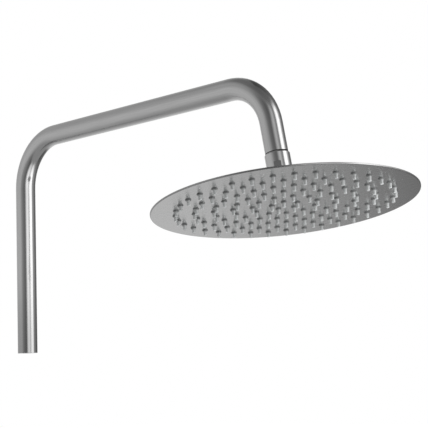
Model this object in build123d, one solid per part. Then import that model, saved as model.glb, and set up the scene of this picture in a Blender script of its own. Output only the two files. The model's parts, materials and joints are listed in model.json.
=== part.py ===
from build123d import *
import os
from math import cos, pi, radians, sin, sqrt, tan

# Overhead section of an exposed shower set: a bent riser tube that carries a
# swivelling round spray head. Millimetres, +Z up. The origin is the centre of the
# riser's lower end, and the arm runs towards +X.

# Running and seating clearances, each on the radius
slip_gap = 0.05
ball_gap = 0.05
cup_gap = 0.1
thread_gap = 0.1
seat_side_gap = 0.7
weld_gap = 0.05
nozzle_gap = 0.02

# Riser, arm and leg: one tube with two bends
tube_diameter = 22.0
tube_wall = 1.0
riser_run = 188.0
riser_bend = 55.0
arm_run = 265.0
arm_bend = 50.0
leg_lean = 10.0
leg_run = 30.0

# Socket in the riser's lower end, with its locking screw
socket_bore = 14.0
socket_depth = 24.0
bush_length = 32.0
bush_passage = 11.0
screw_diameter = 5.0
screw_height = 12.0
screw_recess = 0.3
screw_tip_gap = 0.2
hex_key = 2.5
hex_depth = 2.0

# Nipple in the end of the leg
nipple_thread = 20.955
nipple_bore = 14.0
nipple_insert = 14.0
nipple_reach = 12.0
nipple_relief_depth = 1.2
nipple_relief_length = 1.6

# Collar, neck and ball of the swivel connector, turned from one bar. Drops are
# counted along the leg from the tube's end
collar_diameter = 24.0
collar_gap = 0.7
collar_bottom = 18.5
collar_top_chamfer = 1.4
collar_foot_chamfer = 0.6
spanner_size = 23.0
spanner_top = 11.0
spanner_azimuth = -58.0
neck_diameter = 12.0
neck_flare = 2.0
neck_flare_length = 1.5
ball_diameter = 19.0
ball_drop = 31.0
ball_flat = 7.4
water_bore = 7.0
groove_width = 2.4
groove_depth = 1.6
seal_proud = 0.1

# Sealing pieces inside the collar
gasket_thickness = 2.0
gasket_bore = 12.0
screen_thickness = 0.4
screen_grid = 4
screen_pitch = 2.2
screen_opening = 1.6
regulator_diameter = 11.6
regulator_height = 3.3
regulator_groove = 1.6
regulator_post = 4.0
regulator_ports = 6
regulator_port = 1.3
ring_section = 1.5

# Seat, nut and cup round the ball. Heights are counted up the head's axis from the
# ball's centre, and polar angles from that axis
seat_polar = 58.0
seat_foot = 3.9
seat_throat = 5.45
seat_top = 7.1
seat_mouth = 17.0
cup_polar = 135.0
cup_diameter = 24.0
cup_rim = 3.8
cup_bore = 12.0
cup_spigot = 16.0
nut_diameter = 28.0
nut_spanner = 26.5
nut_mouth = 17.8
nut_roof = 1.6
nut_skirt = 5.0
nut_top_chamfer = 1.5

# Spray head
head_diameter = 250.0
face_drop = 51.0
head_thickness = 1.5
plate_thickness = 0.5
rim_round = 0.8
rim_top_chamfer = 0.2
flange_diameter = 58.0
flange_thickness = 1.2
flange_edge = 0.8
stud_diameter = 5.0
stud_count = 8
stud_sides = 8
stud_ring_diameter = 187.0

# The head as it hangs in the photographed pose: its tilt off the leg's own axis, and
# the azimuth of the axis that it tilts about
rest_tilt = 3.9
tilt_azimuth = 130.0

# Nozzles: rings of 5, 11, 17, 23, 29 and 35, which all start on one radial line.
# Each nozzle is drawn with a few flats, and its hole has the same flats
ring_count = 6
first_ring_nozzles = 5
nozzles_per_ring = 6
first_ring_radius = 12.5
ring_pitch = 17.83
start_azimuth = 160.0
nozzle_sides = 6
nozzle_base = 4.0
nozzle_tip = 3.0
nozzle_reach = 5.4

# Sizes that follow from the ones above
tube_radius = tube_diameter / 2
bore_radius = tube_radius - tube_wall
ball_radius = ball_diameter / 2
groove_radius = ball_radius - groove_depth
cup_radius = ball_radius + seal_proud + cup_gap
nut_bore_radius = cup_diameter / 2 + thread_gap
collar_radius = collar_diameter / 2
collar_floor = nipple_reach + gasket_thickness + screen_thickness
pocket_radius = nipple_thread / 2 + thread_gap
regulator_radius = regulator_diameter / 2
water_gap = head_thickness - 2 * plate_thickness
face_depth = face_drop - ball_drop
back_depth = face_depth - head_thickness
second_turn = 90.0 - leg_lean
second_setback = arm_bend * tan(radians(second_turn / 2))


def tube_path():
    """Centre line of the tube, from the riser's lower end to the end of the leg."""
    arm_height = riser_run + riser_bend
    corner_x = riser_bend + arm_run + second_setback
    leg_length = second_setback + leg_run
    leg_end = (
        corner_x + leg_length * sin(radians(leg_lean)),
        0,
        arm_height - leg_length * cos(radians(leg_lean)),
    )
    points = [(0, 0, 0), (0, 0, arm_height), (corner_x, 0, arm_height), leg_end]
    return FilletPolyline(*points, radius=(riser_bend, arm_bend)), leg_end


centre_line, tube_end = tube_path()
lean = radians(leg_lean)
leg_plane = Plane(origin=tube_end, x_dir=(cos(lean), 0, sin(lean)), z_dir=(-sin(lean), 0, cos(lean)))
leg_place = leg_plane.location
ball_place = leg_place * Pos(0, 0, -ball_drop)
tilt_place = Rot(0, 0, tilt_azimuth) * Rot(rest_tilt, 0, 0) * Rot(0, 0, -tilt_azimuth)
head_place = ball_place * tilt_place


def turned(*points):
    """A solid turned about Z from a closed outline of (radius, height) points."""
    outline = Polyline(*[(radius, 0, height) for radius, height in points], close=True)
    return revolve(make_face(outline), Axis.Z)


def seating_radius(height, polar):
    """Radius, at a height, of the cone that touches the ball at a polar angle."""
    reach = ball_radius + ball_gap
    return (reach - height * cos(radians(polar))) / sin(radians(polar))


def pattern(places, face):
    """Copies of a flat outline at several places, as one sketch."""
    return Sketch() + [place * face for place in places]


def screw_bore(radius):
    """The cross hole for the locking screw, through the back of the riser."""
    depth = tube_diameter
    return Pos(-depth / 2, 0, screw_height) * Rot(0, 90, 0) * Cylinder(radius, depth)


def riser_arm_tube():
    """The bent tube, with the cross hole for the locking screw."""
    section = Circle(tube_radius) - Circle(bore_radius)
    return sweep(section, centre_line) - screw_bore(screw_diameter / 2 + slip_gap)


def riser_socket_bush():
    """Bush in the riser's lower end, flush with the cut, bored for a spigot."""
    outside = bore_radius - slip_gap
    bush = turned(
        (socket_bore / 2, 0),
        (outside, 0),
        (outside, bush_length),
        (bush_passage / 2, bush_length),
        (bush_passage / 2, socket_depth),
        (socket_bore / 2, socket_depth),
    )
    return bush - screw_bore(screw_diameter / 2 + slip_gap)


def riser_grub_screw():
    """Socket screw that locks the spigot: its tip stops just short of the bore."""
    head_x = -(tube_radius - screw_recess)
    tip_x = -(socket_bore / 2 + screw_tip_gap)
    length = tip_x - head_x
    screw = Cylinder(screw_diameter / 2, length)
    key = extrude(RegularPolygon(hex_key / 2, 6, major_radius=False), hex_depth)
    screw -= Pos(0, 0, -length / 2) * key
    return Pos((head_x + tip_x) / 2, 0, screw_height) * Rot(0, 90, 0) * screw


def arm_end_nipple():
    """Nipple in the end of the leg: its shoulder bears on the tube's end, and the thread
    starts below a relief groove."""
    thread = nipple_thread / 2
    relief = thread - nipple_relief_depth
    return leg_place * turned(
        (nipple_bore / 2, nipple_insert),
        (bore_radius - slip_gap, nipple_insert),
        (bore_radius - slip_gap, 0),
        (relief, 0),
        (relief, -nipple_relief_length),
        (thread, -nipple_relief_length - nipple_relief_depth),
        (thread, -nipple_reach),
        (nipple_bore / 2, -nipple_reach),
    )


def inlet_gasket():
    """Flat washer between the nipple and the strainer."""
    outside = pocket_radius - thread_gap
    bottom = -nipple_reach - gasket_thickness
    return leg_place * turned(
        (gasket_bore / 2, -nipple_reach),
        (outside, -nipple_reach),
        (outside, bottom),
        (gasket_bore / 2, bottom),
    )


def filter_screen():
    """Strainer disc under the washer, with its mesh as a coarse square grid."""
    disc = extrude(Circle(pocket_radius - thread_gap), screen_thickness)
    openings = GridLocations(screen_pitch, screen_pitch, screen_grid, screen_grid)
    disc -= extrude(pattern(openings, Rectangle(screen_opening, screen_opening)), screen_thickness)
    return leg_place * Pos(0, 0, -collar_floor) * disc


def regulator_body():
    """Flow regulator: a plug with a groove round its post and ports under the groove."""
    groove_middle = (regulator_post / 2 + regulator_radius - ring_wall()) / 2
    top = -collar_floor
    bottom = top - regulator_height
    floor = top - regulator_groove
    plug = turned(
        (0, bottom),
        (regulator_radius, bottom),
        (regulator_radius, top),
        (regulator_radius - ring_wall(), top),
        (regulator_radius - ring_wall(), floor),
        (regulator_post / 2, floor),
        (regulator_post / 2, top),
        (0, top),
    )
    places = PolarLocations(groove_middle, regulator_ports)
    ports = pattern(places, Rectangle(regulator_port, regulator_port))
    return leg_place * (plug - Pos(0, 0, bottom) * extrude(ports, regulator_height))


def ring_wall():
    """Wall outside the regulator's groove, which leaves room for the rubber ring."""
    return regulator_radius - regulator_post / 2 - ring_section - 2 * slip_gap


def regulator_ring():
    """Rubber ring that lies in the regulator's groove."""
    inside = regulator_post / 2 + slip_gap
    floor = -collar_floor - regulator_groove
    return leg_place * turned(
        (inside, floor),
        (inside + ring_section, floor),
        (inside + ring_section, floor + ring_section),
        (inside, floor + ring_section),
    )


def swivel_ball_connector():
    """Collar, neck and ball in one piece, bored right through for the water."""
    pocket_floor = -collar_floor
    regulator_floor = pocket_floor - regulator_height
    neck = neck_diameter / 2
    ball_top = sqrt(ball_radius**2 - neck**2) - ball_drop
    stem = turned(
        (pocket_radius, -collar_gap),
        (tube_radius, -collar_gap),
        (collar_radius, -collar_gap - collar_top_chamfer),
        (collar_radius, collar_foot_chamfer - collar_bottom),
        (collar_radius - collar_foot_chamfer, -collar_bottom),
        (neck + neck_flare, -collar_bottom),
        (neck, -collar_bottom - neck_flare_length),
        (neck, ball_top),
        (0, ball_top),
        (0, regulator_floor),
        (regulator_radius + slip_gap, regulator_floor),
        (regulator_radius + slip_gap, pocket_floor),
        (pocket_radius, pocket_floor),
    )
    body = stem + Pos(0, 0, -ball_drop) * ball()
    bore_length = ball_drop + ball_radius + regulator_floor
    body -= Pos(0, 0, regulator_floor - bore_length / 2) * Cylinder(water_bore / 2, bore_length)
    flat_height = collar_bottom - spanner_top
    cheek = Box(collar_radius, collar_diameter, flat_height, align=(Align.MIN, Align.CENTER, Align.MIN))
    for turn in (0, 180):
        cut = Rot(0, 0, spanner_azimuth + turn) * Pos(spanner_size / 2, 0, -collar_bottom) * cheek
        body -= cut
    return leg_place * body


def ball():
    """The ball, cut flat below, with the groove that its sealing ring runs in."""
    groove = Cylinder(ball_diameter, groove_width) - Cylinder(groove_radius, groove_width)
    above_flat = Pos(0, 0, ball_radius - ball_flat) * Box(ball_diameter, ball_diameter, ball_diameter)
    return (Sphere(ball_radius) & above_flat) - groove


def ball_seal():
    """Sealing ring in the ball's groove, a little proud of the ball."""
    inside = groove_radius + slip_gap
    outside = ball_radius + seal_proud
    half = groove_width / 2 - slip_gap
    return ball_place * turned((inside, -half), (outside, -half), (outside, half), (inside, half))


def ball_seat():
    """Plain bearing ring over the ball, with a flared mouth that clears the neck."""
    return head_place * turned(
        (seating_radius(seat_foot, seat_polar), seat_foot),
        (nut_bore_radius - seat_side_gap, seat_foot),
        (nut_bore_radius - seat_side_gap, seat_top),
        (seat_mouth / 2, seat_top),
        (seating_radius(seat_throat, seat_polar), seat_throat),
    )


def swivel_nut():
    """Round nut with two flats: its roof holds the seat down on the ball."""
    roof = seat_top + slip_gap
    nut = turned(
        (nut_bore_radius, -nut_skirt),
        (nut_diameter / 2, -nut_skirt),
        (nut_diameter / 2, roof + nut_roof - nut_top_chamfer),
        (nut_diameter / 2 - nut_top_chamfer, roof + nut_roof),
        (nut_mouth / 2, roof + nut_roof),
        (nut_mouth / 2, roof),
        (nut_bore_radius, roof),
    )
    return head_place * (nut & Box(nut_diameter, nut_spanner, nut_diameter))


def ball_cup():
    """Cup that screws into the nut. It stands on the head, with its spigot through it."""
    seat_height = seating_height(cup_radius)
    bore_height = seating_height(cup_bore / 2)
    spigot_end = -back_depth - plate_thickness
    return head_place * turned(
        (cup_radius, cup_rim),
        (cup_diameter / 2, cup_rim),
        (cup_diameter / 2, -back_depth),
        (cup_spigot / 2, -back_depth),
        (cup_spigot / 2, spigot_end),
        (cup_bore / 2, spigot_end),
        (cup_bore / 2, bore_height),
        (cup_radius, seat_height),
    )


def seating_height(radius):
    """Height, at a radius, of the cup's cone, which touches the ball from below."""
    reach = ball_radius + ball_gap
    return (reach - radius * sin(radians(cup_polar))) / cos(radians(cup_polar))


def cup_flange():
    """Stiffening disc round the cup's foot, on the back plate."""
    inside = cup_diameter / 2 + weld_gap
    top = -back_depth + flange_thickness
    return head_place * turned(
        (inside, -back_depth),
        (flange_diameter / 2, -back_depth),
        (flange_diameter / 2 - flange_edge, top),
        (inside, top),
    )


def back_plate():
    """Disc that closes the pan from above, flush with its rim."""
    disc = extrude(Circle(head_diameter / 2 - plate_thickness - weld_gap), plate_thickness)
    disc -= extrude(Circle(cup_spigot / 2 + weld_gap), plate_thickness)
    return head_place * Pos(0, 0, -back_depth - plate_thickness) * disc


def plate_studs():
    """Spacers between the two plates, outside the nozzles' middle rings."""
    places = PolarLocations(stud_ring_diameter / 2, stud_count, start_angle=start_azimuth)
    studs = extrude(pattern(places, RegularPolygon(stud_diameter / 2, stud_sides)), water_gap)
    return head_place * Pos(0, 0, plate_thickness - face_depth) * studs


def ring_places(ring):
    """Places of one ring's nozzles on the spray face."""
    radius = first_ring_radius + ring * ring_pitch
    count = first_ring_nozzles + ring * nozzles_per_ring
    return PolarLocations(radius, count, start_angle=start_azimuth)


def face_plate():
    """The pan: a holed spray face with a rounded, upturned rim."""
    radius = head_diameter / 2
    round_middle = rim_round * (1 - sqrt(0.5))
    inside_round = rim_round - plate_thickness
    pan = turned(
        (0, 0),
        (radius - rim_round, 0),
        (radius - round_middle, round_middle),
        (radius, rim_round),
        (radius, head_thickness - rim_top_chamfer),
        (radius - rim_top_chamfer, head_thickness),
        (radius - plate_thickness, head_thickness),
        (radius - plate_thickness, rim_round),
        (radius - plate_thickness - inside_round, plate_thickness),
        (0, plate_thickness),
    )
    hole = RegularPolygon(nozzle_base / 2 + nozzle_gap, nozzle_sides)
    for ring in range(ring_count):
        pan -= extrude(pattern(ring_places(ring), hole), plate_thickness)
    return head_place * Pos(0, 0, -face_depth) * pan


def corners(radius, height):
    """Corners of a nozzle's flat-sided outline at one height."""
    turns = [2 * pi * side / nozzle_sides for side in range(nozzle_sides)]
    return [Vector(radius * cos(turn), radius * sin(turn), height) for turn in turns]


def nozzle():
    """One soft nozzle: a tapered nose whose root is held in the plate."""
    root = corners(nozzle_base / 2, plate_thickness)
    tip = corners(nozzle_tip / 2, -nozzle_reach)
    flats = [
        Face(Wire.make_polygon([root[side - 1], root[side], tip[side], tip[side - 1]]))
        for side in range(nozzle_sides)
    ]
    ends = [Face(Wire.make_polygon(outline)) for outline in (root, tip)]
    return Solid(Shell(flats + ends))


def nozzle_ring(ring):
    """One ring of separate nozzles in the spray face."""
    nozzles = [place * nozzle() for place in ring_places(ring)]
    return head_place * Pos(0, 0, -face_depth) * Compound(children=nozzles)


parts = {
    "riser_arm_tube": riser_arm_tube(),
    "riser_socket_bush": riser_socket_bush(),
    "riser_grub_screw": riser_grub_screw(),
    "arm_end_nipple": arm_end_nipple(),
    "inlet_gasket": inlet_gasket(),
    "filter_screen": filter_screen(),
    "regulator_body": regulator_body(),
    "regulator_ring": regulator_ring(),
    "swivel_ball_connector": swivel_ball_connector(),
    "ball_seal": ball_seal(),
    "ball_seat": ball_seat(),
    "swivel_nut": swivel_nut(),
    "ball_cup": ball_cup(),
    "cup_flange": cup_flange(),
    "back_plate": back_plate(),
    "plate_studs": plate_studs(),
    "face_plate": face_plate(),
}
for ring in range(ring_count):
    parts[f"nozzle_ring_{ring + 1}"] = nozzle_ring(ring)

os.makedirs("parts", exist_ok=True)
for name, shape in parts.items():
    export_step(shape, f"parts/{name}.step")
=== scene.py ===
import json
from math import cos, pi, radians, sin

import bmesh
import bpy
from bpy.props import FloatProperty, FloatVectorProperty, IntProperty, PointerProperty
from mathutils import Matrix, Vector


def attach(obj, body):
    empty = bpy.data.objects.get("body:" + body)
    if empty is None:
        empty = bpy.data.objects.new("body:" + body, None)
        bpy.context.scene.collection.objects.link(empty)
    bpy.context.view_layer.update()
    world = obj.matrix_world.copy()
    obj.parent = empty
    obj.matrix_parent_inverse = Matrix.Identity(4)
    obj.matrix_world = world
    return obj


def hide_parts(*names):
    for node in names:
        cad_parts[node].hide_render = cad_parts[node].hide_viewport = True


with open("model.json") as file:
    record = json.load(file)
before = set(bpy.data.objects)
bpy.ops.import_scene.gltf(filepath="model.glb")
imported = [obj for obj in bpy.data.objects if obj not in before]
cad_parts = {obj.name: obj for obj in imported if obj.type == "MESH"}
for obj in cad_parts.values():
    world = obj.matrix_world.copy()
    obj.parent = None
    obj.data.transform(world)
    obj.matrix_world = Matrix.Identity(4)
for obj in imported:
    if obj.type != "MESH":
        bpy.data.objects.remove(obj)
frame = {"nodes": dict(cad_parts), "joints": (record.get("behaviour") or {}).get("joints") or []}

bl_info = {
    "name": "Overhead Shower Finisher",
    "version": (1, 0, 0),
    "blender": (4, 5, 0),
    "location": "3D View > Sidebar > Shower",
    "description": "Finishes the overhead section of an exposed shower set and lights it",
    "category": "Object",
}

MM = 0.001

# The tube and its centre line, for the streaks drawn along it, and how many times as long
# as wide a streak is
TUBE_RADIUS = 11 * MM
RISER_BEND = 55 * MM
ARM_HEIGHT = 243 * MM
ARM_RUN = 265 * MM
LEG_BEND = 50 * MM
LEG_BEND_X = RISER_BEND + ARM_RUN
STREAK = 40
# In metres, past every point of the tube, so that it bounds nothing
NO_BOUND = -1.0

# The riser's lower end: how far up shade is painted on it, and its tone at the very end
FOOT_HEIGHT = 105 * MM
FOOT_SHADE_TONE = 0.72
# The head's rim: how far in from the edge its painted shade begins and is full, and its tone
RIM_START = 0.9 * MM
RIM_FULL = 0.7 * MM
RIM_SHADE_TONE = 0.62
# Painted shade on a nozzle, from its root to its tip, as (share of its reach, grey value)
NOZZLE_SHADE_TONES = ((0.0, 0.2), (0.16, 0.2), (0.27, 0.75), (0.5, 0.9), (1.0, 1.0))

# Nearly all noise values lie between these
NOISE_LOW = 0.3
NOISE_HIGH = 0.7
# How far the roughness of a metal varies with its grain, each way
ROUGHNESS_SPREAD = 0.15
# Darkest tone in the orange peel of a moulded surface
PEEL_TONE = 0.94

# Straight steps in a small rounding, and segments round a bead and a nozzle
DOME_STEPS = 4
BEAD_SEGMENTS = 96
NOZZLE_SEGMENTS = 24
# How far a bead is melted in, how far a nozzle reaches into the plate, and its tip's rounding
WELD_ROOT = 0.1 * MM
NOZZLE_FOOT = 0.5 * MM
NOZZLE_LIP = 0.3 * MM

# The camera's sensor in millimetres, and how far it sees in metres, past the floor's far edge
SENSOR_WIDTH = 36
FARTHEST_SEEN = 100

# The studio seen from the part, as (azimuth in degrees from +X, grey value). Pale cards
# stand at the left and behind, a black flag in front of the left half, two tall soft boxes
# at the right, and a dark gap beyond them. The nearer soft box is low: higher up only its
# glow is left
PANELS_LOW = (
    (-180, 0.3), (-152, 0.325), (-115, 0.335), (-100, 0.29), (-88, 0.19), (-73, 0.145),
    (-60, 0.108), (-45, 0.1), (-34, 0.6), (-24, 0.78), (-10, 0.72), (-4, 0.5), (3, 0.5),
    (9, 1.0), (28, 1.0), (38, 0.35), (62, 0.2), (85, 0.09), (119, 0.1), (132, 0.41),
    (140, 0.37), (160, 0.32), (180, 0.3),
)
PANELS_HIGH = (
    (-180, 0.32), (-140, 0.34), (-128, 0.32), (-116, 0.28), (-105, 0.21), (-95, 0.165),
    (-85, 0.135), (-72, 0.11), (-56, 0.11), (-40, 0.36), (-28, 0.48), (-18, 0.36), (-8, 0.2),
    (1, 0.2), (10, 1.0), (16, 1.3), (36, 1.3), (46, 0.7), (54, 0.4), (71, 0.14), (119, 0.1),
    (132, 0.36), (140, 0.34), (180, 0.32),
)
PANELS_TOP = (
    (-180, 0.32), (-140, 0.34), (-116, 0.3), (-72, 0.26), (50, 0.3), (71, 0.18), (119, 0.12),
    (132, 0.36), (140, 0.34), (180, 0.32),
)
# Elevations in degrees between which the low panels pass into the high ones, and these
# into the top ones
LOW_TOP = 9
HIGH_FOOT = 22
HIGH_TOP = 42
TOP_FOOT = 56
# Share of the panels' light by elevation, as (elevation in degrees, share)
STUDIO_LEVELS = (
    (-90, 0.6), (-44, 0.68), (-30, 0.9), (-18, 1.0), (6, 1.0), (14, 0.9),
    (29, 0.74), (44, 0.7), (60, 0.35), (90, 0.3),
)
PANEL_STRENGTH = 2.0
# The dark studio floor: its grey value, and the elevations between which it takes over
GROUND_GREY = 0.19
GROUND_TOP = -46
GROUND_FULL = -56

# Where the swivel and the head stand, read from the frame's joints
joints = {joint["name"]: joint for joint in frame["joints"]}
ball_centre = Vector(joints["head_spin"]["pos_m"])
leg_up = Vector(joints["head_direction"]["axis"]).normalized()
head_up = Vector(joints["head_spin"]["axis"]).normalized()
leg_side = Vector((leg_up.z, 0, -leg_up.x))
head_side = leg_up.rotation_difference(head_up) @ leg_side


def linear(code):
    """An sRGB hex colour as linear red, green and blue."""
    shares = [int(code[k:k + 2], 16) / 255 for k in (1, 3, 5)]
    return [s / 12.92 if s <= 0.04045 else ((s + 0.055) / 1.055) ** 2.4 for s in shares]


def place_of(up, side, origin):
    """Matrix of a local frame: its Z runs along up and its X along side."""
    across = up.cross(side)
    turn = Matrix((side, across, up)).transposed().to_4x4()
    return Matrix.Translation(origin) @ turn


def reach_of(node):
    """A node's greatest radius about the head's own axis, and its lowest and highest
    point along it, counted from the ball's centre."""
    points = [point.co - ball_centre for point in frame["nodes"][node].data.vertices]
    heights = [point.dot(head_up) for point in points]
    return max(point.cross(head_up).length for point in points), min(heights), max(heights)


head_place = place_of(head_up, head_side, ball_centre)
face_radius, face_low, _ = reach_of("face_plate")


class NozzleSizes(bpy.types.PropertyGroup):
    """The rings of soft nozzles, in the spray head's own frame."""

    rings: IntProperty(name="Rings", description="Rings of nozzles", default=6, min=1)
    first_count: IntProperty(name="First ring", description="Nozzles in the inner ring", default=5)
    step: IntProperty(name="Step", description="Nozzles that each ring adds", default=6)
    first_radius: FloatProperty(
        name="First radius", description="Radius of the inner ring",
        default=12.5 * MM, unit="LENGTH",
    )
    pitch: FloatProperty(
        name="Pitch", description="Distance between rings", default=17.83 * MM, unit="LENGTH",
    )
    start: FloatProperty(
        name="Start", description="Direction of the line on which all rings start",
        default=radians(160), subtype="ANGLE",
    )
    face_depth: FloatProperty(
        name="Face depth", description="Spray face below the ball's centre",
        default=-face_low, unit="LENGTH",
    )
    root: FloatProperty(
        name="Root", description="Diameter at the plate", default=4.0 * MM, unit="LENGTH",
    )
    tip: FloatProperty(
        name="Tip", description="Diameter at the tip", default=3.0 * MM, unit="LENGTH",
    )
    reach: FloatProperty(
        name="Reach", description="Length below the plate", default=5.4 * MM, unit="LENGTH",
    )
    shoulder: FloatProperty(
        name="Shoulder", description="Share of the reach that tapers",
        default=0.5, min=0.0, max=1.0, subtype="FACTOR",
    )
    jet: FloatProperty(
        name="Jet", description="Diameter of the jet's hole", default=1.1 * MM, unit="LENGTH",
    )
    jet_depth: FloatProperty(
        name="Jet depth", description="Depth of the hole drawn", default=1.6 * MM, unit="LENGTH",
    )
    collar: FloatProperty(
        name="Collar", description="Diameter of the root's collar", default=5.6 * MM, unit="LENGTH",
    )
    collar_height: FloatProperty(
        name="Collar height", description="Height of the domed collar",
        default=1.0 * MM, unit="LENGTH",
    )


class WeldSizes(bpy.types.PropertyGroup):
    """The beads that hold the flange to the cup and to the back plate."""

    leg: FloatProperty(
        name="Leg", description="Height and width of a bead", default=0.9 * MM, unit="LENGTH",
    )


class FinishColours(bpy.types.PropertyGroup):
    """Base colours of the finishes."""

    steel: FloatVectorProperty(
        name="Steel", description="Satin stainless steel of the tube",
        default=linear("#C8C8C8"), subtype="COLOR",
    )
    sheet: FloatVectorProperty(
        name="Sheet", description="Brushed stainless sheet of the head",
        default=linear("#C6C6C6"), subtype="COLOR",
    )
    back: FloatVectorProperty(
        name="Back", description="Ground stainless sheet of the back",
        default=linear("#B6B6B6"), subtype="COLOR",
    )
    nickel: FloatVectorProperty(
        name="Nickel", description="Satin nickel plating",
        default=linear("#CACACA"), subtype="COLOR",
    )
    # Coloured dark as painted shade, so the groove above the collar reads as a dark line
    brass: FloatVectorProperty(
        name="Brass", description="Bare brass, tarnished",
        default=linear("#4A443A"), subtype="COLOR",
    )
    silicone: FloatVectorProperty(
        name="Silicone", description="Pale nozzle silicone",
        default=linear("#C6C8C8"), subtype="COLOR",
    )
    rubber: FloatVectorProperty(
        name="Rubber", description="Black sealing rubber",
        default=linear("#1B1B1B"), subtype="COLOR",
    )
    acetal: FloatVectorProperty(
        name="Acetal", description="White bearing plastic",
        default=linear("#E6E4DF"), subtype="COLOR",
    )


class StudioSettings(bpy.types.PropertyGroup):
    """Camera, floor and soft light."""

    camera_place: FloatVectorProperty(
        name="Camera", description="Where the camera stands",
        default=(1.0369, -0.8178, -0.0279), subtype="TRANSLATION", unit="LENGTH",
    )
    heading: FloatProperty(
        name="Heading", description="Way the camera looks, from +X",
        default=radians(132.31), subtype="ANGLE",
    )
    pitch: FloatProperty(
        name="Pitch", description="Camera's tilt above the horizon",
        default=radians(7.834), subtype="ANGLE",
    )
    roll: FloatProperty(
        name="Roll", description="Camera's roll", default=radians(-2.036), subtype="ANGLE",
    )
    lens: FloatProperty(
        name="Lens", description="Focal length in millimetres", default=96.17, unit="CAMERA",
    )
    floor_drop: FloatProperty(
        name="Floor", description="Room floor below the riser's end", default=1.9, unit="LENGTH",
    )
    floor_size: FloatProperty(
        name="Floor size", description="Side of the floor", default=60.0, unit="LENGTH",
    )
    lamp_place: FloatVectorProperty(
        name="Lamp", description="Where the side lamp stands",
        default=(0.6, 0.06, 0.02), subtype="TRANSLATION", unit="LENGTH",
    )
    lamp_size: FloatProperty(
        name="Lamp size", description="Side of the lamp", default=0.1, unit="LENGTH",
    )
    lamp_power: FloatProperty(
        name="Lamp power", description="Power of the lamp", default=0.6, unit="POWER",
    )
    backdrop: FloatVectorProperty(
        name="Backdrop", description="Plain white surroundings",
        default=linear("#FFFFFF"), subtype="COLOR",
    )


def add(tree, kind, settings, inputs):
    """Adds a node with its settings and fills its inputs, by name, or by number where names
    repeat. A given output is linked, and of a given node the first output in use."""
    node = tree.nodes.new("ShaderNode" + kind)
    for name, value in settings.items():
        setattr(node, name, value)
    in_use = [socket for socket in node.inputs if socket.enabled]
    by_name = {socket.name: socket for socket in in_use}
    for key, value in inputs.items():
        socket = by_name[key] if isinstance(key, str) else in_use[key]
        if isinstance(value, bpy.types.Node):
            value = next(output for output in value.outputs if output.enabled)
        if isinstance(value, bpy.types.NodeSocket):
            tree.links.new(value, socket)
        else:
            socket.default_value = value
    return node


def set_stops(colour_ramp, stops):
    """Gives a colour ramp its stops, as (place from 0 to 1, grey value)."""
    elements = colour_ramp.elements
    while len(elements) < len(stops):
        elements.new(0.5)
    for element, (place, grey) in zip(elements, stops):
        element.position = place
        element.color = (grey, grey, grey, 1)


def new_material(name):
    """An empty node material, as (material, tree)."""
    material = bpy.data.materials.new(name)
    material.use_nodes = True
    material.node_tree.nodes.clear()
    return material, material.node_tree


def toned(tree, colour, pattern, darkest, shade, place):
    """A colour that is darker where the pattern's noise is low, and where the painted shade says.
    """
    tone = add(tree, "MapRange", {}, {
        "Value": pattern, "From Min": NOISE_LOW, "From Max": NOISE_HIGH, "To Min": darkest,
    })
    if shade:
        tone = add(tree, "Math", {"operation": "MULTIPLY"}, {0: tone, 1: shade(tree, place)})
    return add(tree, "Mix", {"data_type": "RGBA", "blend_type": "MULTIPLY"}, {
        "Factor": 1.0, "A": (*colour, 1), "B": tone,
    })


def metal(name, colour, roughness, grain_mm, contrast, bump_mm, direction, shade=None):
    """A metal with a fine grain. Direction gives the place in the grain's own axes, drawn
    out where the marks are long, and shade paints shade onto its colour from place to place."""
    material, tree = new_material(name)
    place = add(tree, "TexCoord", {}, {}).outputs["Object"]
    grain = add(tree, "TexNoise", {}, {
        "Vector": direction(tree, place), "Scale": 1 / (grain_mm * MM), "Detail": 3.0,
        "Roughness": 0.6,
    })
    rough = add(tree, "MapRange", {}, {
        "Value": grain, "To Min": roughness * (1 - ROUGHNESS_SPREAD),
        "To Max": roughness * (1 + ROUGHNESS_SPREAD),
    })
    bump = add(tree, "Bump", {}, {"Height": grain, "Strength": 0.25, "Distance": bump_mm * MM})
    shader = add(tree, "BsdfPrincipled", {}, {
        "Base Color": toned(tree, colour, grain, 1 - contrast, shade, place), "Metallic": 1.0,
        "Roughness": rough, "Normal": bump,
    })
    add(tree, "OutputMaterial", {}, {"Surface": shader})
    return material


def moulded(name, colour, roughness, ior, grain_mm, bump_mm, transmission=0.0, shade=None):
    """A moulded plastic or rubber, with the fine orange peel of its mould. Shade paints
    shade onto its colour from place to place."""
    material, tree = new_material(name)
    place = add(tree, "TexCoord", {}, {}).outputs["Object"]
    peel = add(tree, "TexNoise", {}, {
        "Vector": place, "Scale": 1 / (grain_mm * MM), "Detail": 2.0,
    })
    bump = add(tree, "Bump", {}, {"Height": peel, "Strength": 0.2, "Distance": bump_mm * MM})
    shader = add(tree, "BsdfPrincipled", {}, {
        "Base Color": toned(tree, colour, peel, PEEL_TONE, shade, place), "Roughness": roughness,
        "IOR": ior, "Transmission Weight": transmission, "Normal": bump,
    })
    add(tree, "OutputMaterial", {}, {"Surface": shader})
    return material


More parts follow.
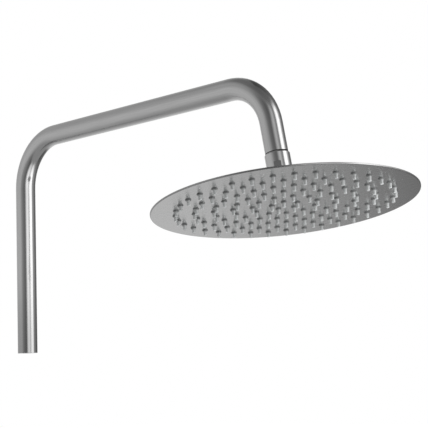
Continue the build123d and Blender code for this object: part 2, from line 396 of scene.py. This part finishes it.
def along_tube(tree, place):
    """Streaks that follow the tube through both bends: the angle round its centre line,
    and a slow run along it. The tube lies in the plane of X and Z."""
    axes = add(tree, "SeparateXYZ", {}, {"Vector": place})
    x, y, z = (axes.outputs[name] for name in "XYZ")
    past_middle = add(tree, "Math", {"operation": "GREATER_THAN"}, {0: x, 1: LEG_BEND_X / 2})
    outside = add(tree, "Mix", {"data_type": "FLOAT"}, {
        "Factor": past_middle, "A": outside_riser_bend(tree, place),
        "B": outside_leg_bend(tree, place),
    })
    turn = add(tree, "Math", {"operation": "ARCTAN2"}, {0: outside, 1: y})
    around = add(tree, "Math", {"operation": "MULTIPLY"}, {0: turn, 1: TUBE_RADIUS})
    run = add(tree, "Math", {"operation": "ADD"}, {0: x, 1: z})
    slow_run = add(tree, "Math", {"operation": "DIVIDE"}, {0: run, 1: STREAK})
    return add(tree, "CombineXYZ", {}, {"X": around, "Y": slow_run})


def outside_riser_bend(tree, place):
    """How far a point lies outside the centre line of the riser, its bend and the arm. The
    distance from the bend's centre is cut off where the straight runs begin."""
    back = add(tree, "VectorMath", {"operation": "MULTIPLY_ADD"}, {
        0: place, 1: (-1, 0, 1), 2: (RISER_BEND, 0, RISER_BEND - ARM_HEIGHT),
    })
    corner = add(tree, "VectorMath", {"operation": "MAXIMUM"}, {0: back, 1: (0, 0, 0)})
    distance = add(tree, "VectorMath", {"operation": "LENGTH"}, {0: corner})
    return add(tree, "Math", {"operation": "SUBTRACT"}, {0: distance, 1: RISER_BEND})


def outside_leg_bend(tree, place):
    """The same for the arm, its second bend and the leg, in axes square to the leg and
    along it."""
    offset = add(tree, "VectorMath", {"operation": "SUBTRACT"}, {
        0: place, 1: (LEG_BEND_X, 0, ARM_HEIGHT - LEG_BEND),
    })
    ahead = add(tree, "VectorMath", {"operation": "MAXIMUM"}, {
        0: offset, 1: (0, NO_BOUND, NO_BOUND),
    })
    outward = add(tree, "VectorMath", {"operation": "DOT_PRODUCT"}, {0: ahead, 1: leg_side})
    upward = add(tree, "VectorMath", {"operation": "DOT_PRODUCT"}, {0: ahead, 1: leg_up})
    above = add(tree, "Math", {"operation": "MAXIMUM"}, {0: upward, 1: 0.0})
    corner = add(tree, "CombineXYZ", {}, {"X": outward, "Y": above})
    distance = add(tree, "VectorMath", {"operation": "LENGTH"}, {0: corner})
    return add(tree, "Math", {"operation": "SUBTRACT"}, {0: distance, 1: LEG_BEND})


def brushed(stretch):
    """A grain in the object's own axes, each scaled: under 1, the marks are long that way."""
    def direction(tree, place):
        return add(tree, "Mapping", {}, {"Vector": place, "Scale": stretch})
    return direction


def from_ball(tree, place):
    """A place counted from the ball's centre."""
    return add(tree, "VectorMath", {"operation": "SUBTRACT"}, {0: place, 1: ball_centre})


def head_radius(tree, offset):
    """Distance from the head's own axis."""
    across = add(tree, "VectorMath", {"operation": "CROSS_PRODUCT"}, {0: offset, 1: head_up})
    return add(tree, "VectorMath", {"operation": "LENGTH"}, {0: across})


def head_height(tree, offset):
    """Distance along the head's own axis."""
    return add(tree, "VectorMath", {"operation": "DOT_PRODUCT"}, {0: offset, 1: head_up})


def round_head(tree, place):
    """Grain drawn out in circles round the head's axis."""
    offset = from_ball(tree, place)
    return add(tree, "CombineXYZ", {}, {
        "X": head_radius(tree, offset), "Y": head_height(tree, offset),
    })


def foot_painted_shade(tree, place):
    """Painted shade: full tone above, and darker towards the riser's lower end, the end that
    is pushed over its spigot."""
    height = add(tree, "SeparateXYZ", {}, {"Vector": place}).outputs["Z"]
    return add(tree, "MapRange", {"interpolation_type": "SMOOTHSTEP"}, {
        "Value": height, "From Max": FOOT_HEIGHT, "To Min": FOOT_SHADE_TONE,
    })


def rim_painted_shade(tree, place):
    """Painted shade: full tone on the head's face, and painted darker on the rim the press
    rolled over. Towards the two ends along the head's side axis the painted shade is lifted."""
    offset = from_ball(tree, place)
    rim_painted_dark = add(tree, "MapRange", {}, {
        "Value": head_radius(tree, offset), "From Min": face_radius - RIM_START,
        "From Max": face_radius - RIM_FULL, "To Min": 1.0, "To Max": RIM_SHADE_TONE,
    })
    # The painted shade is lifted towards the two ends along the head's side axis
    along_head_side = add(tree, "VectorMath", {"operation": "DOT_PRODUCT"}, {0: offset, 1: head_side})
    share = add(tree, "Math", {"operation": "DIVIDE"}, {0: along_head_side, 1: face_radius})
    shade_lifted_at_ends = add(tree, "Math", {"operation": "MULTIPLY"}, {0: share, 1: share})
    return add(tree, "Math", {"operation": "MAXIMUM"}, {0: rim_painted_dark, 1: shade_lifted_at_ends})


def nozzle_painted_shade(tree, place):
    """Painted shade: dark at a nozzle's root, where it meets the plate, and clear towards
    its tip."""
    sizes = bpy.context.scene.shower_nozzles
    reach = add(tree, "MapRange", {}, {
        "Value": head_height(tree, from_ball(tree, place)), "From Min": -sizes.face_depth,
        "From Max": -sizes.face_depth - sizes.reach,
    })
    tones = add(tree, "ValToRGB", {}, {"Fac": reach})
    set_stops(tones.color_ramp, NOZZLE_SHADE_TONES)
    return tones


def satin_stainless_tube(colours):
    """Stainless steel tube, drawn and satin polished along its length: it mirrors the
    studio in soft stripes that follow the bends."""
    # The polishing marks are about 0.1 mm wide, too fine to show: they are drawn 0.9 mm wide
    # Shade is painted darker towards the riser's lower end
    return metal(
        "stainless_tube_satin_drawn", colours.steel, roughness=0.16, grain_mm=0.9, contrast=0.1,
        bump_mm=0.004, direction=along_tube, shade=foot_painted_shade,
    )


def brushed_stainless_sheet(colours):
    """Stainless sheet, brushed one way before it was pressed: an even grey with faint
    streaks."""
    # The brush marks are about 0.1 mm wide, too fine to show: they are drawn 0.8 mm wide
    # Shade is painted on the rim of the face, except towards its two ends
    return metal(
        "stainless_sheet_brushed", colours.sheet, roughness=0.27, grain_mm=0.8, contrast=0.05,
        bump_mm=0.002, direction=brushed((0.06, 1, 1)), shade=rim_painted_shade,
    )


def ground_stainless_sheet(colours):
    """Stainless sheet, ground in circles and left matt: it glows softly where the face
    would mirror."""
    # The grinding marks are about 0.1 mm wide, too fine to show: they are drawn 0.8 mm wide
    return metal(
        "stainless_sheet_ground", colours.back, roughness=0.45, grain_mm=0.8, contrast=0.08,
        bump_mm=0.003, direction=round_head,
    )


def welded_stainless(colours):
    """A welding bead in stainless steel, brushed off but a little rough and grey, with
    ripples at their real size."""
    return metal(
        "stainless_weld_bead", colours.back, roughness=0.4, grain_mm=0.6, contrast=0.25,
        bump_mm=0.03, direction=brushed((1, 1, 1)),
    )


def nickel_plated_brass(colours):
    """Turned brass with satin nickel plating: a little glossier than the tube."""
    # The turning marks are about 0.1 mm apart, too fine to show: they are drawn 0.4 mm apart
    return metal(
        "brass_turned_nickel_plated", colours.nickel, roughness=0.14, grain_mm=0.8, contrast=0.05,
        bump_mm=0.003, direction=brushed((1, 1, 2)),
    )


def turned_brass_painted_dark(colours):
    """Bare turned brass, coloured dark as painted shade: the groove above the collar reads as a
    dark line.
    """
    # The turning marks are about 0.1 mm apart, too fine to show: they are drawn 0.3 mm apart
    return metal(
        "brass_turned_painted_shade_dark", colours.brass, roughness=0.5, grain_mm=0.8, contrast=0.2,
        bump_mm=0.01, direction=brushed((1, 1, 3)),
    )


def moulded_silicone(colours):
    """Soft moulded silicone: pale, and lets some light through."""
    # The orange peel is about 0.2 mm wide, too fine to show: it is drawn 0.7 mm wide
    # Shade is painted dark at each nozzle's root
    return moulded(
        "silicone_moulded_pale", colours.silicone, roughness=0.35, ior=1.41, grain_mm=0.7,
        bump_mm=0.01, transmission=0.48, shade=nozzle_painted_shade,
    )


def moulded_rubber(colours):
    """Black sealing rubber, moulded: deep and matt."""
    # The orange peel is about 0.2 mm wide, too fine to show: it is drawn 0.6 mm wide
    return moulded(
        "rubber_moulded_black", colours.rubber, roughness=0.6, ior=1.52, grain_mm=0.6,
        bump_mm=0.01,
    )


def moulded_acetal(colours):
    """White acetal, moulded: dense and a little waxy."""
    # The orange peel is about 0.2 mm wide, too fine to show: it is drawn 0.6 mm wide
    return moulded(
        "acetal_moulded_white", colours.acetal, roughness=0.4, ior=1.48, grain_mm=0.6,
        bump_mm=0.01,
    )


def finish(material, *nodes):
    """Gives carried-over nodes their finished material."""
    for name in nodes:
        piece = frame["nodes"][name]
        piece.data.materials.clear()
        piece.data.materials.append(material)


def quarter_turns():
    """Angles of a small rounding, from 0 to a quarter turn."""
    return [pi / 2 * k / DOME_STEPS for k in range(DOME_STEPS + 1)]


def turned(mesh, outline, segments, places):
    """Adds solids turned about each place's Z from a closed (radius, height) outline."""
    turns = [2 * pi * k / segments for k in range(segments)]
    for place in places:
        rings = []
        for radius, height in outline:
            if radius == 0:
                rings.append([mesh.verts.new(place @ Vector((0, 0, height)))])
                continue
            rings.append([
                mesh.verts.new(place @ Vector((radius * cos(turn), radius * sin(turn), height)))
                for turn in turns
            ])
        for k, ring in enumerate(rings):
            previous = rings[k - 1]
            if len(ring) == 1 and len(previous) == 1:
                continue
            for s in range(segments):
                corners = [
                    previous[s % len(previous)], previous[(s + 1) % len(previous)],
                    ring[(s + 1) % len(ring)], ring[s % len(ring)],
                ]
                mesh.faces.new(list(dict.fromkeys(corners)))


def piece_from(mesh, name, material, sharp=35):
    """An object from a bmesh, smooth shaded up to an angle in degrees."""
    bmesh.ops.recalc_face_normals(mesh, faces=mesh.faces)
    data = bpy.data.meshes.new(name)
    mesh.to_mesh(data)
    mesh.free()
    data.materials.append(material)
    data.shade_smooth()
    data.set_sharp_from_angle(angle=radians(sharp))
    piece = bpy.data.objects.new(name, data)
    bpy.context.scene.collection.objects.link(piece)
    return piece


class SHOWER_OT_stage(bpy.types.Operator):
    """Sets the camera, the pale floor and the soft studio light"""

    bl_idname = "shower.stage"
    bl_label = "Stage"

    def execute(self, context):
        studio = context.scene.shower_studio
        self.set_camera(context, studio)
        self.lay_floor(studio)
        self.light_studio(context, studio)
        self.set_side_lamp(context, studio)
        context.scene.view_settings.view_transform = "Standard"
        context.scene.cycles.use_denoising = True
        return {"FINISHED"}

    def set_camera(self, context, studio):
        """The photograph's viewpoint: from below and in front, a little rolled."""
        lens = bpy.data.cameras.new("camera")
        lens.lens = studio.lens
        lens.sensor_width = SENSOR_WIDTH
        lens.clip_end = FARTHEST_SEEN
        camera = bpy.data.objects.new("camera", lens)
        turn = (
            Matrix.Rotation(studio.heading - pi / 2, 4, "Z")
            @ Matrix.Rotation(pi / 2 + studio.pitch, 4, "X")
            @ Matrix.Rotation(studio.roll, 4, "Z")
        )
        camera.matrix_world = Matrix.Translation(studio.camera_place) @ turn
        context.scene.collection.objects.link(camera)
        context.scene.camera = camera

    def lay_floor(self, studio):
        """A plain white floor. It isn't mirrored in the metal, where it would wash out."""
        material, tree = new_material("floor_paper_white")
        white = (*studio.backdrop, 1)
        paper = add(tree, "BsdfDiffuse", {}, {"Color": white})
        glow = add(tree, "Emission", {}, {"Color": white, "Strength": 1.0})
        both = add(tree, "AddShader", {}, {0: paper, 1: glow})
        add(tree, "OutputMaterial", {}, {"Surface": both})
        mesh = bmesh.new()
        bmesh.ops.create_grid(mesh, x_segments=1, y_segments=1, size=studio.floor_size / 2)
        floor = piece_from(mesh, "floor", material)
        floor.location.z = -studio.floor_drop
        floor.visible_glossy = False

    def set_side_lamp(self, context, studio):
        """A small soft lamp beside the head, for the nozzles. The metal doesn't mirror it."""
        lamp = bpy.data.lights.new("side_lamp", "AREA")
        lamp.size = studio.lamp_size
        lamp.energy = studio.lamp_power
        side = bpy.data.objects.new("side_lamp", lamp)
        side.location = studio.lamp_place
        aim = ball_centre - side.location
        side.rotation_euler = aim.to_track_quat("-Z", "Y").to_euler()
        side.visible_glossy = False
        context.scene.collection.objects.link(side)

    def light_studio(self, context, studio):
        """Soft panels all round light the part and are mirrored in it. The camera itself
        sees plain white."""
        world = bpy.data.worlds.new("studio")
        context.scene.world = world
        world.use_nodes = True
        tree = world.node_tree
        tree.nodes.clear()
        towards = add(tree, "TexCoord", {}, {}).outputs["Generated"]
        axes = add(tree, "SeparateXYZ", {}, {"Vector": towards})
        light = add(tree, "Mix", {"data_type": "RGBA", "blend_type": "MULTIPLY"}, {
            "Factor": 1.0, "A": self.panels(tree, axes), "B": self.levels(tree, axes),
        })
        grounded = add(tree, "Mix", {"data_type": "RGBA"}, {
            "Factor": self.passage(tree, axes, GROUND_TOP, GROUND_FULL), "A": light,
            "B": (GROUND_GREY, GROUND_GREY, GROUND_GREY, 1),
        })
        soft = add(tree, "Background", {}, {"Color": grounded, "Strength": PANEL_STRENGTH})
        white = add(tree, "Background", {}, {"Color": (*studio.backdrop, 1), "Strength": 1.0})
        seen = add(tree, "LightPath", {}, {}).outputs["Is Camera Ray"]
        choice = add(tree, "MixShader", {}, {0: seen, 1: soft, 2: white})
        add(tree, "OutputWorld", {}, {"Surface": choice})

    def panels(self, tree, axes):
        """The panels' grey value by direction: three storeys that pass into each other."""
        heading = add(tree, "Math", {"operation": "ARCTAN2"}, {
            0: axes.outputs["Y"], 1: axes.outputs["X"],
        })
        around = add(tree, "MapRange", {}, {"Value": heading, "From Min": -pi, "From Max": pi})
        storeys = []
        for cards in (PANELS_LOW, PANELS_HIGH, PANELS_TOP):
            storey = add(tree, "ValToRGB", {}, {"Fac": around})
            set_stops(storey.color_ramp, [((azimuth + 180) / 360, grey) for azimuth, grey in cards])
            storeys.append(storey)
        low, high, top = storeys
        walls = add(tree, "Mix", {"data_type": "RGBA"}, {
            "Factor": self.passage(tree, axes, LOW_TOP, HIGH_FOOT), "A": low, "B": high,
        })
        return add(tree, "Mix", {"data_type": "RGBA"}, {
            "Factor": self.passage(tree, axes, HIGH_TOP, TOP_FOOT), "A": walls, "B": top,
        })

    def levels(self, tree, axes):
        """The share of the panels' light by elevation."""
        upward = add(tree, "MapRange", {}, {
            "Value": axes.outputs["Z"], "From Min": -1.0, "From Max": 1.0,
        })
        shares = add(tree, "ValToRGB", {}, {"Fac": upward})
        set_stops(shares.color_ramp, [
            ((sin(radians(elevation)) + 1) / 2, share) for elevation, share in STUDIO_LEVELS
        ])
        return shares

    def passage(self, tree, axes, start, end):
        """0 before the first elevation in degrees, 1 past the second, and even between."""
        return add(tree, "MapRange", {}, {
            "Value": axes.outputs["Z"], "From Min": sin(radians(start)),
            "From Max": sin(radians(end)),
        })


class SHOWER_OT_riser_arm(bpy.types.Operator):
    """Finishes the bent tube and the socket in its lower end"""

    bl_idname = "shower.riser_arm"
    bl_label = "Riser and arm"

    def execute(self, context):
        colours = context.scene.shower_colours
        finish(satin_stainless_tube(colours), "riser_arm_tube")
        finish(nickel_plated_brass(colours), "riser_socket_bush", "riser_grub_screw")
        return {"FINISHED"}


class SHOWER_OT_swivel(bpy.types.Operator):
    """Finishes the connector, the nut, the cup and the rings of the swivel joint"""

    bl_idname = "shower.swivel"
    bl_label = "Swivel joint"

    def execute(self, context):
        colours = context.scene.shower_colours
        finish(nickel_plated_brass(colours), "swivel_ball_connector", "swivel_nut", "ball_cup")
        finish(moulded_acetal(colours), "ball_seat")
        finish(moulded_rubber(colours), "ball_seal")
        return {"FINISHED"}


class SHOWER_OT_water_fittings(bpy.types.Operator):
    """Finishes the pieces inside the collar"""

    bl_idname = "shower.water_fittings"
    bl_label = "Water fittings"

    def execute(self, context):
        colours = context.scene.shower_colours
        finish(turned_brass_painted_dark(colours), "arm_end_nipple")
        finish(moulded_rubber(colours), "inlet_gasket", "regulator_ring")
        finish(moulded_acetal(colours), "regulator_body")
        finish(brushed_stainless_sheet(colours), "filter_screen")
        return {"FINISHED"}


class SHOWER_OT_head_plates(bpy.types.Operator):
    """Finishes the spray face, the studs, the back plate and the flange"""

    bl_idname = "shower.head_plates"
    bl_label = "Head plates"

    def execute(self, context):
        colours = context.scene.shower_colours
        finish(brushed_stainless_sheet(colours), "face_plate", "plate_studs")
        finish(ground_stainless_sheet(colours), "back_plate", "cup_flange")
        return {"FINISHED"}


class SHOWER_OT_weld_beads(bpy.types.Operator):
    """Lays the welding beads round the cup's foot and round the flange"""

    bl_idname = "shower.weld_beads"
    bl_label = "Weld beads"

    def execute(self, context):
        cup_radius, _, _ = reach_of("ball_cup")
        flange_radius, plate_top, flange_top = reach_of("cup_flange")
        leg = context.scene.shower_welds.leg
        steel = welded_stainless(context.scene.shower_colours)
        for name, radius, foot in (
            ("cup_weld", cup_radius, flange_top), ("flange_weld", flange_radius, plate_top),
        ):
            mesh = bmesh.new()
            turned(mesh, self.outline(radius, foot, leg), BEAD_SEGMENTS, [head_place])
            bead = piece_from(mesh, name, steel)
            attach(bead, "spray_head")
        return {"FINISHED"}

    def outline(self, radius, foot, leg):
        """Section of a hollow bead, from the plate up the wall, set a little into both."""
        return [
            (radius - WELD_ROOT, foot - WELD_ROOT),
            (radius + leg, foot - WELD_ROOT),
            *[
                (radius + leg * (1 - sin(turn)), foot + leg * (1 - cos(turn)))
                for turn in quarter_turns()
            ],
            (radius - WELD_ROOT, foot + leg),
        ]


class SHOWER_OT_nozzles(bpy.types.Operator):
    """Moulds the soft nozzles, ring by ring, each with its jet"""

    bl_idname = "shower.nozzles"
    bl_label = "Nozzles"

    def execute(self, context):
        sizes = context.scene.shower_nozzles
        silicone = moulded_silicone(context.scene.shower_colours)
        for ring in range(sizes.rings):
            mesh = bmesh.new()
            turned(mesh, self.outline(sizes), NOZZLE_SEGMENTS, self.places(sizes, ring))
            name = f"nozzle_ring_{ring + 1}"
            piece = piece_from(mesh, f"soft_{name}", silicone)
            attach(piece, "spray_head")
            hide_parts(name)
        return {"FINISHED"}

    def outline(self, sizes):
        """Half section of a nozzle: collar, tapered nose, rounded tip and jet."""
        root = sizes.root / 2
        nose = sizes.tip / 2
        jet = sizes.jet / 2
        return [
            (0, NOZZLE_FOOT),
            (root, NOZZLE_FOOT),
            (root, 0),
            *self.dome(sizes),
            (nose, -sizes.reach * sizes.shoulder),
            (nose, -sizes.reach + NOZZLE_LIP),
            (nose - NOZZLE_LIP, -sizes.reach),
            (jet, -sizes.reach),
            (jet, -sizes.reach + sizes.jet_depth),
            (0, -sizes.reach + sizes.jet_depth),
        ]

    def dome(self, sizes):
        """The collar's rounded side, from the plate to the nose."""
        side = (sizes.collar - sizes.root) / 2
        return [
            (sizes.root / 2 + side * cos(turn), -sizes.collar_height * sin(turn))
            for turn in quarter_turns()
        ]

    def places(self, sizes, ring):
        """Places of one ring's nozzles, on the spray face."""
        radius = sizes.first_radius + ring * sizes.pitch
        count = sizes.first_count + ring * sizes.step
        for k in range(count):
            turn = sizes.start + 2 * pi * k / count
            spot = Vector((radius * cos(turn), radius * sin(turn), -sizes.face_depth))
            yield head_place @ Matrix.Translation(spot)


class SHOWER_PT_panel(bpy.types.Panel):
    """Lists the shower's operators and sizes"""

    bl_idname = "SHOWER_PT_panel"
    bl_label = "Shower"
    bl_space_type = "VIEW_3D"
    bl_region_type = "UI"
    bl_category = "Shower"

    def draw(self, context):
        for operator in OPERATORS:
            self.layout.operator(operator.bl_idname)
        for name in GROUPS:
            box = self.layout.box()
            group = getattr(context.scene, name)
            for field in group.__annotations__:
                box.prop(group, field)


OPERATORS = (
    SHOWER_OT_stage,
    SHOWER_OT_riser_arm,
    SHOWER_OT_swivel,
    SHOWER_OT_water_fittings,
    SHOWER_OT_head_plates,
    SHOWER_OT_weld_beads,
    SHOWER_OT_nozzles,
)
GROUPS = {
    "shower_nozzles": NozzleSizes,
    "shower_welds": WeldSizes,
    "shower_colours": FinishColours,
    "shower_studio": StudioSettings,
}


def register():
    for item in (*GROUPS.values(), *OPERATORS, SHOWER_PT_panel):
        bpy.utils.register_class(item)
    for name, group in GROUPS.items():
        setattr(bpy.types.Scene, name, PointerProperty(type=group))


def unregister():
    for name in GROUPS:
        delattr(bpy.types.Scene, name)
    for item in reversed((*GROUPS.values(), *OPERATORS, SHOWER_PT_panel)):
        bpy.utils.unregister_class(item)


def main():
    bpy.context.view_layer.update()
    register()
    bpy.ops.shower.stage()
    bpy.ops.shower.riser_arm()
    bpy.ops.shower.swivel()
    bpy.ops.shower.water_fittings()
    bpy.ops.shower.head_plates()
    bpy.ops.shower.weld_beads()
    bpy.ops.shower.nozzles()


if __name__ == "__main__":
    main()
